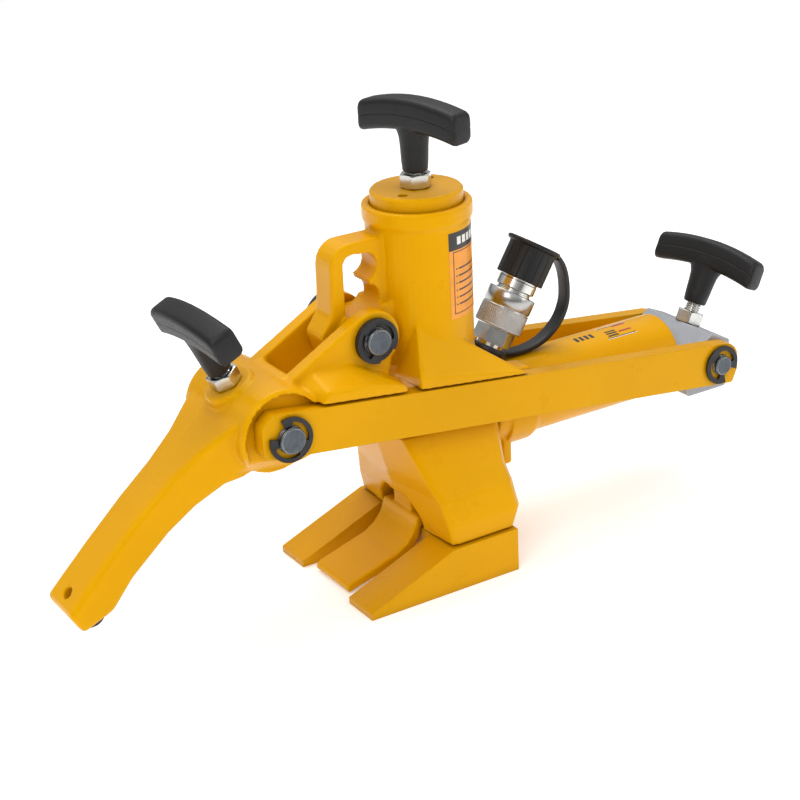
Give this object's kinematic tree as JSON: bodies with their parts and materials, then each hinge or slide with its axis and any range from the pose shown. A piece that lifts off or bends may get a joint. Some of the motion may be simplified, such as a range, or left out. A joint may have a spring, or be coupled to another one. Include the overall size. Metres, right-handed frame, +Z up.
{
  "type": "hydraulic tyre bead breaker",
  "caption": "Hydraulic bead breaker: an upright cylinder pushes a forked foot down while a second cylinder draws a hooked clamp arm closed through side links.",
  "frame": {"origin": "centre of the main cylinder's axis at the underside of the push foot", "axes": "+Z up along the main cylinder, +X along the clamp cylinder toward its crosshead, -X toward the clamp arm"},
  "size_m": [0.5536, 0.1236, 0.3264],
  "materials": {
    "main_casting": "glossy yellow enamel over a cast or machined surface",
    "cylinder_cap": "glossy yellow enamel over a cast or machined surface",
    "ram_bush": "machined bronze",
    "jaw_block": "glossy yellow enamel over a cast or machined surface",
    "guide_tongue": "glossy yellow enamel over a cast or machined surface",
    "main_return_spring": "machined steel",
    "clamp_return_spring": "machined steel",
    "clamp_gland": "machined bronze",
    "upper_pin": "machined steel",
    "upper_washer": "black oxide",
    "upper_ring": "black oxide",
    "coupler_adapter": "bright zinc plate",
    "coupler_body": "bright zinc plate",
    "dust_cap_strap": "black rubber",
    "top_jam_nut": "bright zinc plate",
    "push_foot": "glossy yellow enamel over a cast or machined surface",
    "ram_rod": "hard chrome",
    "ram_piston": "machined steel",
    "ram_seal": "black rubber",
    "foot_set_screw": "machined steel",
    "clamp_arm": "glossy yellow enamel over a cast or machined surface",
    "arm_tip_pad": "black rubber",
    "arm_jam_nut": "bright zinc plate",
    "lower_pin": "machined steel",
    "lower_ring_near": "black oxide",
    "lower_ring_far": "black oxide",
    "side_plate_near": "glossy yellow enamel over a cast or machined surface",
    "side_plate_far": "glossy yellow enamel over a cast or machined surface",
    "rear_pin": "machined steel",
    "rear_ring_near": "black oxide",
    "rear_ring_far": "black oxide",
    "crosshead": "grey primer with a bright machined bevel",
    "clamp_rod": "hard chrome",
    "clamp_piston": "machined steel",
    "clamp_seal": "black rubber",
    "rear_jam_nut": "bright zinc plate",
    "top_handle": "finely textured black plastic",
    "top_stud": "bright zinc plate",
    "arm_handle": "finely textured black plastic",
    "arm_stud": "bright zinc plate",
    "rear_handle": "finely textured black plastic",
    "rear_stud": "bright zinc plate",
    "coupler_sleeve": "bright zinc plate",
    "dust_cap": "black rubber",
    "coupler_poppet": "machined steel"
  },
  "bodies": {
    "casting": {"main_casting": "main_casting", "cylinder_cap": "cylinder_cap", "ram_bush": "ram_bush", "jaw_block": "jaw_block", "guide_tongue": "guide_tongue", "main_return_spring": "main_return_spring", "clamp_return_spring": "clamp_return_spring", "clamp_gland": "clamp_gland", "upper_pin": "upper_pin", "upper_washer": "upper_washer", "upper_ring": "upper_ring", "coupler_adapter": "coupler_adapter", "coupler_body": "coupler_body", "dust_cap_strap": "dust_cap_strap", "top_jam_nut": "top_jam_nut"},
    "ram": {"push_foot": "push_foot", "ram_rod": "ram_rod", "ram_piston": "ram_piston", "ram_seal": "ram_seal", "foot_set_screw": "foot_set_screw"},
    "arm": {"clamp_arm": "clamp_arm", "arm_tip_pad": "arm_tip_pad", "arm_jam_nut": "arm_jam_nut", "lower_pin": "lower_pin", "lower_ring_near": "lower_ring_near", "lower_ring_far": "lower_ring_far"},
    "links": {"side_plate_near": "side_plate_near", "side_plate_far": "side_plate_far", "rear_pin": "rear_pin", "rear_ring_near": "rear_ring_near", "rear_ring_far": "rear_ring_far"},
    "crosshead_slide": {"crosshead": "crosshead", "clamp_rod": "clamp_rod", "clamp_piston": "clamp_piston", "clamp_seal": "clamp_seal", "rear_jam_nut": "rear_jam_nut"},
    "top_grip": {"top_handle": "top_handle", "top_stud": "top_stud"},
    "arm_grip": {"arm_handle": "arm_handle", "arm_stud": "arm_stud"},
    "rear_grip": {"rear_handle": "rear_handle", "rear_stud": "rear_stud"},
    "sleeve": {"coupler_sleeve": "coupler_sleeve"},
    "cap": {"dust_cap": "dust_cap"},
    "poppet": {"coupler_poppet": "coupler_poppet"}
  },
  "joints": [
    {"name": "arm_hinge", "type": "hinge", "parent": "casting", "child": "arm", "pos_m": [-0.0536, 0, 0.1812], "axis": [0, -1, 0], "range_deg": [0, 14], "stiffness_Nm_per_rad": 12, "springref_deg": -35.52},
    {"name": "link_hinge", "type": "hinge", "parent": "arm", "child": "links", "pos_m": [-0.1308, 0, 0.1397], "axis": [0, -1, 0], "range_deg": [-11.3, 0]},
    {"name": "crosshead_travel", "type": "slide", "parent": "casting", "child": "crosshead_slide", "axis": [1, 0, 0], "range_m": [0, 0.0138], "deforming": ["clamp_return_spring"]},
    {"name": "ram_travel", "type": "slide", "parent": "casting", "child": "ram", "axis": [0, 0, -1], "range_m": [0, 0.068], "stiffness_N_per_m": 800, "springref_m": -0.09, "deforming": ["main_return_spring"]},
    {"name": "top_grip_turn", "type": "hinge", "parent": "casting", "child": "top_grip", "pos_m": [0, 0, 0.2675], "axis": [0, 0, 1], "range_deg": [-90, 90]},
    {"name": "arm_grip_turn", "type": "hinge", "parent": "arm", "child": "arm_grip", "pos_m": [-0.148, 0, 0.167], "axis": [-0.4226, 0, 0.9063], "range_deg": [-90, 90]},
    {"name": "rear_grip_turn", "type": "hinge", "parent": "crosshead_slide", "child": "rear_grip", "pos_m": [0.234, 0, 0.11624], "axis": [0.4067, 0, 0.9135], "range_deg": [-90, 90]},
    {"name": "sleeve_turn", "type": "hinge", "parent": "casting", "child": "sleeve", "pos_m": [0.057, 0, 0.147], "axis": [0.5299, 0, 0.848], "continuous": true},
    {"name": "cap_pull", "type": "slide", "parent": "casting", "child": "cap", "axis": [0.5299, 0, 0.848], "range_m": [0, 0.045], "deforming": ["dust_cap_strap"]},
    {"name": "poppet_press", "type": "slide", "parent": "casting", "child": "poppet", "axis": [-0.5299, 0, -0.848], "range_m": [0, 0.003], "stiffness_N_per_m": 600, "springref_m": -0.004}
  ],
  "couplings": [
    {"joint": "link_hinge", "follows": "arm_hinge", "ratio": -0.7966},
    {"joint": "crosshead_travel", "follows": "arm_hinge", "m_per_rad": 0.0555}
  ]
}
